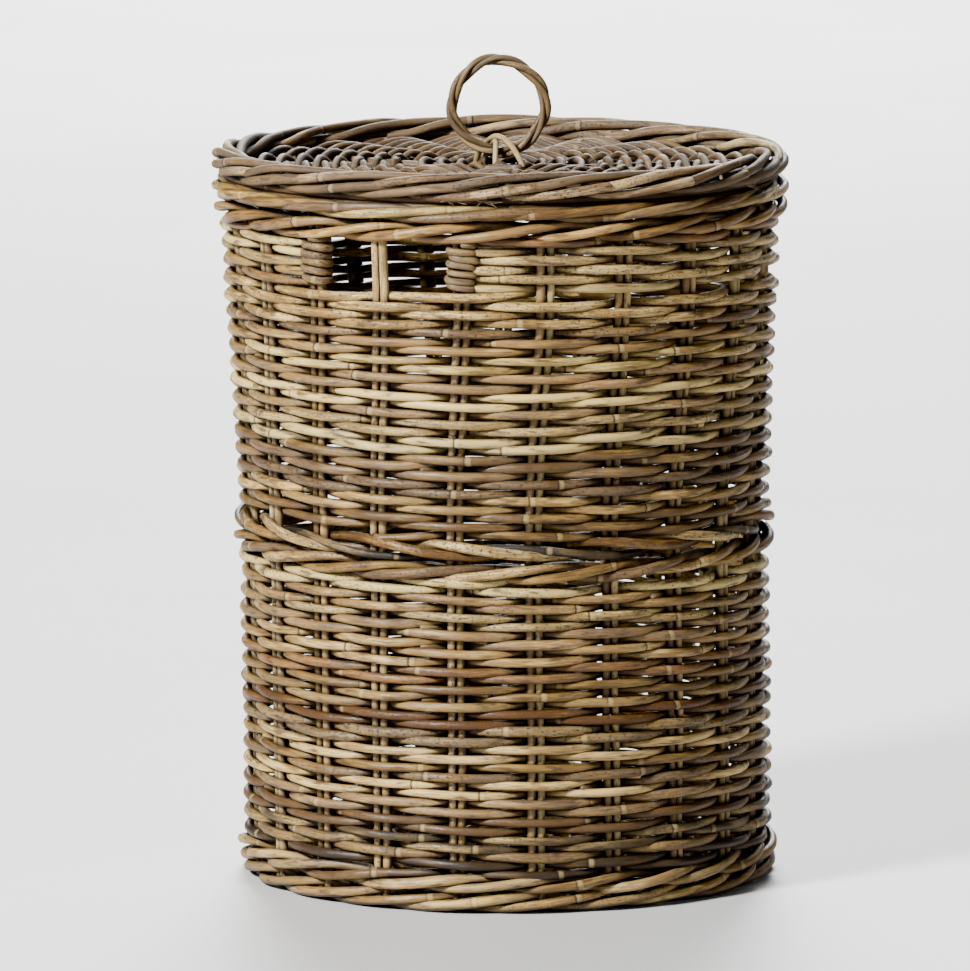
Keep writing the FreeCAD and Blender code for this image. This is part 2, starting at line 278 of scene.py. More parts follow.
def grainNoise(tree, vector, scale, detail):
    stretched = put(tree, "VectorMath", {0: vector, 1: scale}, operation="MULTIPLY").outputs[0]
    sockets = {"Vector": stretched, "Scale": 1.0, "Detail": detail, "Roughness": 0.6}
    return put(tree, "TexNoise", sockets).outputs[0]


caneMarks = {
    "yellow": (0.99, 1.01, 0.74, 1.0),       # the casts that a cane's colour runs between
    "rosy": (1.05, 0.94, 0.82, 1.0),
    "ruddy": (1.0, 0.78, 0.55, 1.0),
    "blackened": (0.018, 0.013, 0.010, 1.0),
    "fleck": (0.030, 0.019, 0.011, 1.0),
    "joint": (0.040, 0.024, 0.014, 1.0),
    # a near black for the shade painted where canes crowd together
    "paintedCreviceShade": (0.014, 0.008, 0.004, 1.0),
    "creviceShadeReach": 0.016,                      # how near other canes stand where the painted shade darkens a cane
    "jointSpacing": (0.17, 0.13),            # the least distance between joints, and how much more at most
    "jointWander": 0.0022,
    "scarFrom": 0.0028,                      # from the joint to the middle of its scar
}


def caneSkinGroup():
    tree = bpy.data.node_groups.new("caneSkin", "ShaderNodeTree")
    colourNames = ("Deep", "Middle", "Pale", "Weathered", "Stain")
    for name in colourNames:
        tree.interface.new_socket(name, in_out="INPUT", socket_type="NodeSocketColor")
    for name in ("Mottle", "Grooves", "Ruddy", "Matt"):
        tree.interface.new_socket(name, in_out="INPUT", socket_type="NodeSocketFloat")
    tree.interface.new_socket("Color", in_out="OUTPUT", socket_type="NodeSocketColor")
    for name in ("Roughness", "Height"):
        tree.interface.new_socket(name, in_out="OUTPUT", socket_type="NodeSocketFloat")
    given = tree.nodes.new("NodeGroupInput").outputs
    result = tree.nodes.new("NodeGroupOutput").inputs

    tint = put(tree, "Attribute", attribute_name="caneTint")
    parts = put(tree, "SeparateColor", {0: tint.outputs["Color"]}).outputs
    tone, grey, own, black = parts[0], parts[1], parts[2], tint.outputs["Alpha"]
    place = put(tree, "SeparateXYZ", {0: put(tree, "UVMap", uv_map="caneMap").outputs[0]}).outputs
    along = maths(tree, "MULTIPLY_ADD", own, 23.0, place[0])
    turn = maths(tree, "MULTIPLY", place[1], 2.0 * math.pi)
    roundIt = {0: along, 1: maths(tree, "COSINE", turn), 2: maths(tree, "SINE", turn)}
    vector = put(tree, "CombineXYZ", roundIt).outputs[0]

    drift = grainNoise(tree, vector, (13.0, 0.22, 0.22), 2.0)       # slow change of tone along the cane
    blotch = grainNoise(tree, vector, (48.0, 0.85, 0.85), 4.0)      # stains of a centimetre or two
    fibre = grainNoise(tree, vector, (70.0, 3.4, 3.4), 3.0)         # streaks that run with the cane
    speck = grainNoise(tree, vector, (420.0, 2.2, 2.2), 2.0)        # pits and flecks

    drifted = maths(tree, "SUBTRACT", drift, 0.5)
    streaked = maths(tree, "SUBTRACT", fibre, 0.5)
    mixed = maths(tree, "ADD", tone, maths(tree, "MULTIPLY", drifted, 1.6))
    mixed = maths(tree, "ADD", mixed, maths(tree, "MULTIPLY", streaked, given["Grooves"]))
    lower = blendColours(tree, ramp(tree, mixed, 0.0, 0.5), given["Deep"], given["Middle"])
    colour = blendColours(tree, ramp(tree, mixed, 0.5, 1.0), lower, given["Pale"])
    cast = blendColours(tree, maths(tree, "ADD", own, drifted), caneMarks["yellow"], caneMarks["rosy"])
    colour = blendColours(tree, 1.0, colour, cast, "MULTIPLY")
    ruddy = ramp(tree, maths(tree, "FRACT", maths(tree, "MULTIPLY", own, 17.0)), 0.78, 0.90, given["Ruddy"])
    ruddyShare = maths(tree, "MULTIPLY", ruddy, ramp(tree, drift, 0.35, 0.60))
    ruddyColour = blendColours(tree, 1.0, colour, caneMarks["ruddy"], "MULTIPLY")
    colour = blendColours(tree, ruddyShare, colour, ruddyColour)
    greyShare = maths(tree, "MULTIPLY", grey, ramp(tree, blotch, 0.25, 0.62))
    colour = blendColours(tree, greyShare, colour, given["Weathered"])
    stained = maths(tree, "MULTIPLY", ramp(tree, blotch, 0.52, 0.66), given["Mottle"])
    colour = blendColours(tree, stained, colour, given["Stain"])
    blackened = maths(tree, "MULTIPLY", black, ramp(tree, drift, 0.30, 0.55))
    colour = blendColours(tree, blackened, colour, caneMarks["blackened"])
    fleckShare = ramp(tree, maths(tree, "FRACT", maths(tree, "MULTIPLY", own, 7.0)), 0.10, 1.0, 0.95)
    flecked = maths(tree, "MULTIPLY", ramp(tree, speck, 0.555, 0.66), fleckShare)
    colour = blendColours(tree, flecked, colour, caneMarks["fleck"])

    # the joints of the cane: a thin dark ring, with a paler scar beside it
    least, more = caneMarks["jointSpacing"]
    spacing = maths(tree, "MULTIPLY_ADD", own, more, least)
    between = maths(tree, "SUBTRACT", maths(tree, "FRACT", maths(tree, "DIVIDE", along, spacing)), 0.5)
    fromJoint = maths(tree, "MULTIPLY", between, spacing)
    uneven = maths(tree, "MULTIPLY_ADD", streaked, caneMarks["jointWander"], fromJoint)
    joint = maths(tree, "SUBTRACT", 1.0, ramp(tree, maths(tree, "ABSOLUTE", uneven), 0.0003, 0.0011))
    fromScar = maths(tree, "ABSOLUTE", maths(tree, "SUBTRACT", uneven, caneMarks["scarFrom"]))
    scar = maths(tree, "SUBTRACT", 1.0, ramp(tree, fromScar, 0.0010, 0.0030))
    clear = ramp(tree, maths(tree, "FRACT", maths(tree, "MULTIPLY", own, 31.0)), 0.20, 0.75, 0.85)
    colour = blendColours(tree, maths(tree, "MULTIPLY", scar, 0.30), colour, given["Pale"])
    colour = blendColours(tree, maths(tree, "MULTIPLY", joint, clear), colour, caneMarks["joint"])

    # painted shade: each cane is darkened towards near black wherever other canes crowd near it, where their
    # shade falls, and the open crests stay light
    crowded = put(tree, "AmbientOcclusion", {"Distance": caneMarks["creviceShadeReach"]}, samples=5).outputs["AO"]
    colour = blendColours(tree, ramp(tree, crowded, 0.80, 0.22, 0.96), colour, caneMarks["paintedCreviceShade"])
    tree.links.new(colour, result["Color"])

    rough = maths(tree, "MULTIPLY_ADD", maths(tree, "SUBTRACT", blotch, 0.5), 0.50, given["Matt"])
    rough = maths(tree, "MULTIPLY_ADD", grey, 0.14, rough)
    tree.links.new(maths(tree, "MULTIPLY_ADD", joint, 0.2, rough), result["Roughness"])
    height = maths(tree, "MULTIPLY", fibre, 0.55)
    height = maths(tree, "MULTIPLY_ADD", blotch, 0.35, height)
    height = maths(tree, "MULTIPLY_ADD", scar, 0.45, height)
    height = maths(tree, "MULTIPLY_ADD", joint, -0.6, height)
    tree.links.new(maths(tree, "MULTIPLY_ADD", flecked, -0.5, height), result["Height"])
    return tree


caneSkin = caneSkinGroup()
finishes = {
    # deep, middle, pale, weathered and stain colours, then how mottled, streaked, ruddy and matt
    "wallCane": ((0.078, 0.036, 0.011), (0.245, 0.147, 0.047), (0.630, 0.480, 0.218), (0.225, 0.174, 0.106),
                 (0.060, 0.028, 0.011), 0.80, 1.25, 0.70, 0.36),
    "borderCane": ((0.085, 0.040, 0.013), (0.250, 0.148, 0.050), (0.600, 0.445, 0.200), (0.225, 0.172, 0.104),
                   (0.065, 0.030, 0.012), 0.75, 1.15, 0.5, 0.35),
    "stakeCane": ((0.130, 0.070, 0.026), (0.310, 0.200, 0.080), (0.590, 0.450, 0.225), (0.290, 0.230, 0.150),
                  (0.100, 0.050, 0.020), 0.50, 0.70, 0.4, 0.44),
    "weatheredCane": ((0.062, 0.034, 0.016), (0.138, 0.081, 0.037), (0.500, 0.380, 0.230),
                      (0.185, 0.136, 0.084), (0.055, 0.031, 0.017), 0.75, 1.20, 0.25, 0.56),
    "bindingCane": ((0.170, 0.110, 0.055), (0.330, 0.240, 0.130), (0.520, 0.410, 0.250),
                    (0.330, 0.280, 0.200), (0.100, 0.060, 0.030), 0.50, 0.70, 0.1, 0.50),
    "handleCane": ((0.060, 0.034, 0.018), (0.150, 0.095, 0.052), (0.320, 0.235, 0.140), (0.220, 0.180, 0.130),
                   (0.040, 0.022, 0.012), 0.65, 0.90, 0.2, 0.42),
}


def makeFinish(name, values):
    skin = bpy.data.materials.new(name)
    skin.use_nodes = True
    tree = skin.node_tree
    shader = tree.nodes["Principled BSDF"]
    group = tree.nodes.new("ShaderNodeGroup")
    group.node_tree = caneSkin
    for socket, colour in zip(("Deep", "Middle", "Pale", "Weathered", "Stain"), values):
        group.inputs[socket].default_value = (*colour, 1.0)
    for socket, value in zip(("Mottle", "Grooves", "Ruddy", "Matt"), values[5:]):
        group.inputs[socket].default_value = value
    bump = put(tree, "Bump", {"Height": group.outputs["Height"], "Strength": 0.80, "Distance": 0.0009})
    tree.links.new(group.outputs["Color"], shader.inputs["Base Color"])
    tree.links.new(group.outputs["Roughness"], shader.inputs["Roughness"])
    tree.links.new(bump.outputs[0], shader.inputs["Normal"])
    shader.inputs["Specular IOR Level"].default_value = 0.30
    return skin


pith = {
    "dark": (0.160, 0.105, 0.062, 1.0),
    "light": (0.310, 0.225, 0.140, 1.0),
    "pore": (0.090, 0.050, 0.028, 1.0),
}


def makeCutEnd():
    # the pith of a cut cane, with its open pores
    skin = bpy.data.materials.new("cutEnd")
    skin.use_nodes = True
    tree = skin.node_tree
    shader = tree.nodes["Principled BSDF"]
    where = put(tree, "TexCoord").outputs["Object"]
    pores = put(tree, "TexVoronoi", {"Vector": where, "Scale": 1500.0}).outputs["Distance"]
    cloud = put(tree, "TexNoise", {"Vector": where, "Scale": 260.0, "Detail": 3.0}).outputs[0]
    colour = blendColours(tree, ramp(tree, cloud, 0.35, 0.65), pith["dark"], pith["light"])
    colour = blendColours(tree, ramp(tree, pores, 0.35, 0.10, 0.8), colour, pith["pore"])
    bump = put(tree, "Bump", {"Height": pores, "Strength": 0.5, "Distance": 0.0003})
    tree.links.new(colour, shader.inputs["Base Color"])
    tree.links.new(bump.outputs[0], shader.inputs["Normal"])
    shader.inputs["Roughness"].default_value = 0.85
    return skin


skins = {name: makeFinish(name, values) for name, values in finishes.items()}
cutEndSkin = makeCutEnd()
print("cane finishes made")

wall = {
    "step": 1.0 / 8.0,            # of the way from one pair to the next
    "pairLength": 0.063,          # along the wall from pair to pair
    "lowerRounds": 33,
    "upperRounds": 27,
    "holeRows": 6,                # beside the hand holes
    "besideHoles": ((1, 10), (12, pairs - 1)),   # the first and last pair that those rows pass
    "shortest": 25,               # a weaver's length, in pairs passed
    "longest": 50,
    "radiusSpread": 0.070,
    "radiusRange": (0.97, 1.12),
    "tint": (0.50, 0.38, 0.32),
    "blackOnes": 0.065,           # the share of weavers that are blackened, and how black they are
    "black": 0.9,
    "rowDrift": (0.10, 0.0004),   # each drift: how far apart its changes are, and their size
    "swingDrift": (0.2, 0.04),
    "outDrift": (0.05, 0.0007),
    "radiusDrift": (0.15, 0.03),
    # height of a wave, its crests round the basket, how it turns with height, and where it starts
    "waves": ((0.0011, 2.0, 21.0, 0.0), (0.0008, 5.0, -33.0, 1.0)),
    "reachPast": 0.0034,          # how far the rows press into the waled bands
    "underHole": 0.0068,          # how far below the hand holes the last round lies
    "lap": 0.45,                  # how far a joined end runs past its pair
    "tuckOver": 0.9,              # the distance over which it leaves its row
    "tuck": 0.0034,               # how far it moves out of its row
    "shyEnd": 0.0030,             # and inward
    "outBias": 0.50,              # how much longer a weaver stays outside than inside
    "lateDive": 0.62,             # how much of the way in and out is made close to the pairs
    "slant": 0.0005,              # how much it drops as it passes a pair
    "intoWrap": 0.08,             # how far a row beside a hand hole runs into the coiled cane
    "calmOver": 0.55,             # the distance over which it stops weaving there
    "calmShare": 0.1,             # and how much of the weave is left
}


def rowWave(turn, height):
    # neighbouring rows rise and fall together
    return sum(size * np.sin(crests * turn + climb * height + start)
               for size, crests, climb, start in wall["waves"])


def wallTint():
    black = wall["black"] if dice.random() < wall["blackOnes"] else 0.0
    return pickTint(*wall["tint"], black)


def tuckAt(count, end):
    # at a join the ends lie side by side on the inside: how far inward, and how far up or down
    near = smooth(1.0 - np.abs(count - end) / wall["tuckOver"])
    return near * wall["shyEnd"], near * wall["tuck"]


def weaveCane(bundle, count, rowHeight, outPhase, startTuck=(0.0, 0.0), endTuck=(0.0, 0.0), share=1.0):
    # one weaver, which passes in front of every other pair; it is inside where cos(pi * outPhase) is -1
    radius = caneRadius * np.clip(dice.normal(1.0, wall["radiusSpread"]), *wall["radiusRange"])
    length = count * wall["pairLength"]
    height = rowHeight + wander(length, *wall["rowDrift"]) + endTuck[1] - startTuck[1]
    height = height + rowWave(turnAt(count), height)
    height = height - wall["slant"] * np.sin(math.pi * outPhase)
    weave = np.cos(math.pi * outPhase)
    weave = weave * (1.0 - wall["lateDive"] + wall["lateDive"] * weave * weave)
    out = reach * (weave + wall["outBias"] * (1.0 - weave * weave))
    out = out * (1.0 + wander(length, *wall["swingDrift"])) + wander(length, *wall["outDrift"])
    out = out * share - startTuck[0] - endTuck[0]
    thick = radius * (1.0 + wander(length, *wall["radiusDrift"]))
    layCane(bundle, onWall(count, height, out), thick, wallTint())


def weaveSpiral(bundle, low, high, rounds):
    total = rounds * pairs
    pitch = (high - low - 2.0 * caneRadius) / rounds
    start = 0
    while start < total:
        end = start + int(dice.integers(wall["shortest"], wall["longest"]))
        end = end | 1                       # a join lies inside, at an odd pair
        if total - end < wall["shortest"]:
            end = total + 2 - (total + 1) % 2
        count = np.arange(start - (wall["lap"] if start else 0.0), end + wall["lap"], wall["step"])
        height = low + caneRadius + pitch * count / pairs
        weaveCane(bundle, count, height, count, tuckAt(count, start), tuckAt(count, end))
        start = end


lowerBundle = newBundle()
weaveSpiral(lowerBundle, lowerLow.z - wall["reachPast"], lowerHigh.z + wall["reachPast"], wall["lowerRounds"])
makePiece(lowerBundle, "lowerWall", "lower_wall", "basket", skins["wallCane"])

upperBundle = newBundle()
holeFoot = holeLow.z - wall["underHole"]
weaveSpiral(upperBundle, upperLow.z - wall["reachPast"], holeFoot, wall["upperRounds"])
rowPitch = (upperHigh.z - holeFoot) / wall["holeRows"]
for row in range(wall["holeRows"]):
    for firstPair, lastPair in wall["besideHoles"]:
        count = np.arange(firstPair - wall["intoWrap"], lastPair + wall["intoWrap"], wall["step"])
        fromEnd = np.minimum(count - firstPair, lastPair - count)
        calm = wall["calmShare"]
        share = smooth(fromEnd / wall["calmOver"] + calm) * (1.0 - calm) + calm
        height = np.full(len(count), holeFoot + rowPitch * (row + 0.5))
        weaveCane(upperBundle, count, height, count + row + 1.0, share=share)
makePiece(upperBundle, "upperWall", "upper_wall", "basket", skins["wallCane"])

stakes = {
    "low": 0.006,
    "high": 0.5775,
    "step": 0.009,
    "sideDrift": (0.06, 0.00045),
    "outDrift": (0.05, 0.00045),
    "radiusSpread": 0.05,
    "tint": (0.60, 0.22, 0.18),
}
stakeBundle = newBundle(cut["fewSides"])
for pair in range(pairs):
    for half in (-0.5, 0.5):
        height = np.arange(stakes["low"], stakes["high"], stakes["step"])
        turn = turnAt(np.full(len(height), float(pair))) + twistAt(height)
        beside = half * basket["pairSpacing"] + wander(height, *stakes["sideDrift"])
        out = wander(height, *stakes["outDrift"])
        path = onCircle(turn, stakeCircle(height) + out, height)
        path[:, 0] -= np.sin(turn) * beside
        path[:, 1] += np.cos(turn) * beside
        radial = np.stack([np.cos(turn), np.sin(turn), np.zeros_like(turn)], axis=1)
        radius = stakeRadius * dice.normal(1.0, stakes["radiusSpread"])
        layCane(stakeBundle, path, radius, pickTint(*stakes["tint"]), radial)
makePiece(stakeBundle, "sideStakes", "side_stakes", "basket", skins["stakeCane"])
print("walls woven")

wraps = {
    # node: piece, stake pair, coils
    "hand_hole_wrap_front_left": ("wrapFrontLeft", 20, 5.5),
    "hand_hole_wrap_front_right": ("wrapFrontRight", 1, 6.5),
    "hand_hole_wrap_back_right": ("wrapBackRight", 10, 6.5),
    "hand_hole_wrap_back_left": ("wrapBackLeft", 12, 5.5),
}
coil = {
    "past": (0.0062, 0.0010),     # how far it runs past the foot of the hole, and stops short of its head
    "fills": 1.06,                # above 1, neighbouring turns press together
    "halfWidth": 0.0102,
    "halfDepth": 0.0071,
    "corner": 0.62,               # below 1, the turns are squarer than an ellipse
    "steps": 18,                  # to a turn
    "riseDrift": (0.4, 0.00084),
    "sideDrift": (0.5, 0.0014),
    "radiusDrift": (0.7, 0.05),
    "tint": (0.22, 0.05, 0.15),
}


def squared(wave):
    return np.sign(wave) * np.abs(wave) ** coil["corner"]


def coilPair(name, node, pair, coils):
    # one long cane coiled up round a pair of stakes and the row ends beside it
    bundle = newBundle(cut["fewSides"])
    low = holeLow.z - coil["past"][0]
    high = holeHigh.z - coil["past"][1]
    cane = (high - low) / (coils + 1.0) / 2.0 * coil["fills"]
    low, high = low + cane, high - cane
    at = np.arange(0.0, coils + 1.0e-6, 1.0 / coil["steps"])
    turn = 2.0 * math.pi * at - math.pi / 2.0
    height = low + (high - low) * at / coils + wander(at, *coil["riseDrift"])
    across = squared(np.cos(turn)) * coil["halfWidth"] + wander(at, *coil["sideDrift"])
    out = squared(np.sin(turn)) * coil["halfDepth"]
    middle = turnAt(np.full(len(at), float(pair))) + twistAt(height)
    path = onCircle(middle, stakeCircle(height) + out, height)
    path[:, 0] -= np.sin(middle) * across
    path[:, 1] += np.cos(middle) * across
    layCane(bundle, path, cane * (1.0 + wander(at, *coil["radiusDrift"])), pickTint(*coil["tint"]))
    makePiece(bundle, name, node, "basket", skins["wallCane"])


for node, (name, pair, coils) in wraps.items():
    coilPair(name, node, pair, coils)
print("hand holes bound")

waling = {
    "rods": 3,
    "step": 1.0 / 9.0,
    "lap": 0.45,                  # how far a rod runs past its round
    "lapOver": 0.8,               # the distance over which its ends go inside
    "lapIn": 0.004,
    "pairLength": 0.065,
    "outDrift": (0.06, 0.0005),
    "riseDrift": (0.09, 0.0006),
    "radiusDrift": (0.12, 0.04),
    "radiusSpread": 0.05,
    "wave": (0.0012, 2.0, 7.0),   # height, crests round, and turn with height
    "blackThin": 0.12,            # how much thinner and shallower the blackened rod is
    "blackLow": 0.0034,           # and how much lower
}


def layWale(bundle, height, rise, radius, halfHeight, depth, tint, blackRod):
    # each rod is in front of two pairs and behind one; rise is 1 where the strokes climb to the right
    lap = waling["lap"]
    waveSize, crests, climb = waling["wave"]
    for rod in range(waling["rods"]):
        count = np.arange(rod - lap, rod + pairs + lap, waling["step"])
        phase = 2.0 * math.pi * (count - rod) / 3.0
        length = count * waling["pairLength"]
        fromStart = (count - rod + lap) / waling["lapOver"]
        fromEnd = (rod + pairs + lap - count) / waling["lapOver"]
        ends = smooth(1.0 - fromStart) + smooth(1.0 - fromEnd)
        black = 1.0 if rod == blackRod else 0.0
        thin = 1.0 - waling["blackThin"] * black
        out = thin * depth * (1.0 / 3.0 - 4.0 / 3.0 * np.cos(phase)) + wander(length, *waling["outDrift"])
        out = out - waling["lapIn"] * ends
        lift = -rise * halfHeight * np.sin(phase) + wander(length, *waling["riseDrift"])
        lift = lift - waling["blackLow"] * black
        where = height + lift + waveSize * np.sin(crests * turnAt(count) + climb * height)
        thick = radius * thin * dice.normal(1.0, waling["radiusSpread"])
        thick = thick * (1.0 + wander(length, *waling["radiusDrift"]))
        layCane(bundle, onWall(count, where, out), thick, pickTint(*tint, black))


wallTone, rimTone = (0.50, 0.24, 0.20), (0.40, 0.22, 0.15)
wales = {
    # node: piece, rise, cane radius, half height, depth, lowered by, tint, blackened rod, finish
    "foot_wale": ("footWale", 1, 0.0041, 0.0050, 0.0071, 0.0, (0.52, 0.22, 0.30), None, "wallCane"),
    "waist_wale_lower": ("waistWaleLower", 1, 0.0041, 0.0048, 0.0072, 0.0, wallTone, None, "wallCane"),
    "waist_wale_upper": ("waistWaleUpper", -1, 0.0041, 0.0047, 0.0072, 0.0, wallTone, 1, "wallCane"),
    "rim_wale": ("rimWale", 1, 0.0040, 0.0056, 0.0072, 0.0026, rimTone, None, "borderCane"),
}
for node, (name, rise, radius, halfHeight, depth, lowered, tint, blackRod, finish) in wales.items():
    low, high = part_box(node)
    bundle = newBundle()
    layWale(bundle, (low.z + high.z) / 2.0 - lowered, rise, radius, halfHeight, depth, tint, blackRod)
    makePiece(bundle, name, node, "basket", skins[finish])
print("waled bands laid")

rolling = {
    "step": 1.0 / 10.0,
    "startSpread": 0.05,
    "soften": (1.0, 2.0, 3.0, 2.0, 1.0),   # the weights that round a stroke's turns off
    "pairLength": 0.068,
    "outDrift": (0.06, 0.0008),
    "riseDrift": (0.06, 0.0007),
    "radiusDrift": (0.1, 0.03),
    "radiusSpread": 0.06,
    "offFloor": 0.0002,
    "hoopRounds": 1.02,            # that a hoop runs, so its ends lap
    "hoopSteps": 200,
}


def softened(values):
    weights = np.array(rolling["soften"])
    return np.convolve(np.pad(values, len(weights) // 2, mode="edge"), weights / weights.sum(), mode="valid")


def rollStroke(bundle, edge, stroke, first, tint, turns):
    # a stroke of a border: as it runs on past the pairs, it rolls round the edge from below to over the top
    counts, rolls, depths = stroke
    counts = np.array(counts) + dice.normal(0.0, rolling["startSpread"])
    count = np.arange(counts[0], counts[-1] + 1.0e-6, rolling["step"])
    roll = softened(np.radians(np.interp(count, counts, rolls)))
    depth = softened(np.interp(count, counts, depths))
    length = count * rolling["pairLength"]
    out = edge["centre"][0] + edge["out"] * depth * np.cos(roll) + wander(length, *rolling["outDrift"])
    height = edge["centre"][1] + edge["up"] * depth * np.sin(roll) + wander(length, *rolling["riseDrift"])
    thick = edge["radius"] * dice.normal(1.0, rolling["radiusSpread"])
    thick = thick * (1.0 + wander(length, *rolling["radiusDrift"]))
    height = np.maximum(height, thick + rolling["offFloor"])
    twist = twistAt(height) if turns is wallTurns else 0.0
    layCane(bundle, onCircle(turnAt(first + count, turns) + twist, out, height), thick, tint)


def layHoop(bundle, radius, height, cane, tint):
    # a hidden cane round the whole basket
    turn = np.linspace(0.0, 2.0 * math.pi * rolling["hoopRounds"], rolling["hoopSteps"])
    layCane(bundle, onCircle(turn, radius, height), cane, tint)


# each stroke is given as pairs passed, the roll there in degrees, and how far out from the middle of the edge
footBorder = {
    "radius": 0.0040, "centre": (0.2090, 0.0096), "out": 0.0104, "up": 0.0056,
    "stroke": ((0.0, 0.6, 1.2, 2.0, 2.8, 3.4), (-168, -130, -85, -20, 55, 150), (0.9, 1, 1, 1, 1, 0.8)),
    "tint": (0.50, 0.20, 0.35),
}
bundle = newBundle()
for pair in range(pairs):
    rollStroke(bundle, footBorder, footBorder["stroke"], pair, pickTint(*footBorder["tint"]), wallTurns)
makePiece(bundle, "footBorder", "foot_border", "basket", skins["wallCane"])

rimBorder = {
    "radius": 0.0038, "centre": (0.2244, 0.5738), "out": 0.0106, "up": 0.0039,
    "outer": ((-0.3, 0.3, 0.9, 1.6, 2.15, 2.7), (-120, -75, -25, 30, 58, 80), (0.6, 0.95, 1, 1.03, 1.0, 0.4)),
    "outerTint": (0.42, 0.22, 0.20),
    "inner": ((1.2, 1.9, 2.6, 3.3), (60, 110, 160, 215), (0.4, 0.85, 0.95, 0.85)),
    "innerTint": (0.40, 0.20, 0.20),
    "core": (0.2262, 0.5785), "coreRadius": 0.0037, "coreTint": (0.30, 0.2, 0.5, 0.0),   # inside the strokes
}
bundle = newBundle()
for pair in range(pairs):
    rollStroke(bundle, rimBorder, rimBorder["outer"], pair, pickTint(*rimBorder["outerTint"]), wallTurns)
    rollStroke(bundle, rimBorder, rimBorder["inner"], pair, pickTint(*rimBorder["innerTint"]), wallTurns)
layHoop(bundle, *rimBorder["core"], rimBorder["coreRadius"], rimBorder["coreTint"])
makePiece(bundle, "rimBorder", "rim_border", "basket", skins["borderCane"])

lidEdge = {
    "fromWallDegrees": 9.0,       # from the stakes' first pair to the lid's first rib
    "unevenDegrees": 0.5,
    "radius": 0.0038, "centre": (0.2250, 0.5945), "out": 0.0108, "up": 0.0078,
    "outer": ((-1.0, -0.4, 0.0, 0.3, 0.6, 1.0, 1.3, 1.8), (-150, -112, -84, -62, -40, -10, 8, 24),
              (0.6, 0.74, 0.86, 0.96, 1.0, 1.04, 0.98, 0.35)),
    "outerTint": (0.52, 0.28, 0.35),
    "shown": ((-1.0, -0.4, 0.0, 0.3, 0.6, 1.0, 1.3), (-150, -112, -84, -62, -40, -10, 8),
              (0.6, 0.74, 0.86, 0.96, 1.0, 1.07, 1.09)),
    "shownAt": (1, 2, 3),         # the ribs where an outer stroke's end lies on the edge
    "over": ((0.0, 0.3, 0.6, 1.0, 1.5, 2.0, 2.5, 3.1), (-18, -2, 28, 64, 92, 120, 158, 222),
             (0.3, 0.75, 1.0, 1.02, 1.0, 1.02, 1.12, 0.80)),
    "overTint": (0.38, 0.28, 0.42),
    "core": (0.2198, 0.5935), "coreRadius": 0.0037, "coreTint": (0.4, 0.1, 0.5),
    "seat": (0.2272, 0.5851), "seatRadius": 0.0034, "seatTint": (0.02, 0.03, 0.1),   # it rests on the rim; its near-black tint is painted shade in the gap under the lid's edge
}
lidTurns = evenTurns(math.radians(basket["firstPairDegrees"] + lidEdge["fromWallDegrees"]),
                     math.radians(lidEdge["unevenDegrees"]))
outerBundle = newBundle()
overBundle = newBundle()
for rib in range(pairs):
    outer = lidEdge["shown"] if rib in lidEdge["shownAt"] else lidEdge["outer"]
    rollStroke(outerBundle, lidEdge, outer, rib, pickTint(*lidEdge["outerTint"]), lidTurns)
    rollStroke(overBundle, lidEdge, lidEdge["over"], rib, pickTint(*lidEdge["overTint"]), lidTurns)
layHoop(outerBundle, *lidEdge["core"], lidEdge["coreRadius"], pickTint(*lidEdge["coreTint"]))
layHoop(outerBundle, *lidEdge["seat"], lidEdge["seatRadius"], pickTint(*lidEdge["seatTint"]))

frays = {
    "atDegrees": (-101.0, -93.0, -31.0, 64.0, 152.0),
    "fibres": 6,
    "length": 0.015,
    "lengthRange": (0.5, 1.1),
    "radius": 0.00035,
    "hangsFrom": (0.2325, 0.5862),
    "outward": 0.002,
    "spreadDegrees": 1.6,
    "curl": 0.5,
    "swing": 0.6,
    "droop": (0.1, 0.5),
    "tint": (0.95, 0.1),
}


def fray(bundle, turnDegrees):
    # a few split fibres that hang from the underside of the edge
    fromMiddle, top = frays["hangsFrom"]
    for fibre in range(frays["fibres"]):
        at = np.linspace(0.0, 1.0, 7)
        length = frays["length"] * dice.uniform(*frays["lengthRange"])
        turn = math.radians(turnDegrees + dice.normal(0.0, frays["spreadDegrees"]))
        curl = dice.normal(0.0, frays["curl"]) * at * at * length
        swing = (dice.normal(0.0, frays["swing"]) * at * length + curl) / lidEdge["centre"][0]
        height = top - at * length * dice.uniform(*frays["droop"])
        path = onCircle(turn + swing, fromMiddle + frays["outward"] * at, height)
        thick = frays["radius"] * (1.2 - 0.7 * at)
        layCane(bundle, path, thick, (*frays["tint"], dice.random(), 0.0), (-math.sin(turn) * 0.2, 0.3, 1.0))


for turnDegrees in frays["atDegrees"]:
    fray(outerBundle, turnDegrees)
makePiece(outerBundle, "lidWale", "lid_wale", "lid", skins["weatheredCane"])
makePiece(overBundle, "lidBorder", "lid_border", "lid", skins["weatheredCane"])
print("borders rolled")

disc = {
    "groups": 7,                  # the ribs start out in groups of three
    "ribsFrom": 0.010,
    "ribSteps": 26,
    "ribGap": 2.05,               # between ribs of a group, in cane radii
    "opens": 0.036,               # where the groups start to fan out, and where they are open
    "spread": 0.078,
    "ribRadius": 0.0031,
    "ribDrift": (0.03, 0.0004),
    "ribToneSpread": 0.15,
    "inner": 0.018,
    "caneRadius": 0.0031,
    "caneLength": (28.0, 60.0),   # in ribs passed
    "ribLength": 0.05,
    "endOver": 0.5,               # the distance over which a cane's end sinks
    "endIn": 0.1,
    "sink": 0.002,
    "outDrift": (0.12, 0.0004),
    "upDrift": (0.1, 0.04),
    "radiusDrift": (0.1, 0.03),
    "radiusSpread": 0.05,
    "caneToneSpread": 0.20,
}


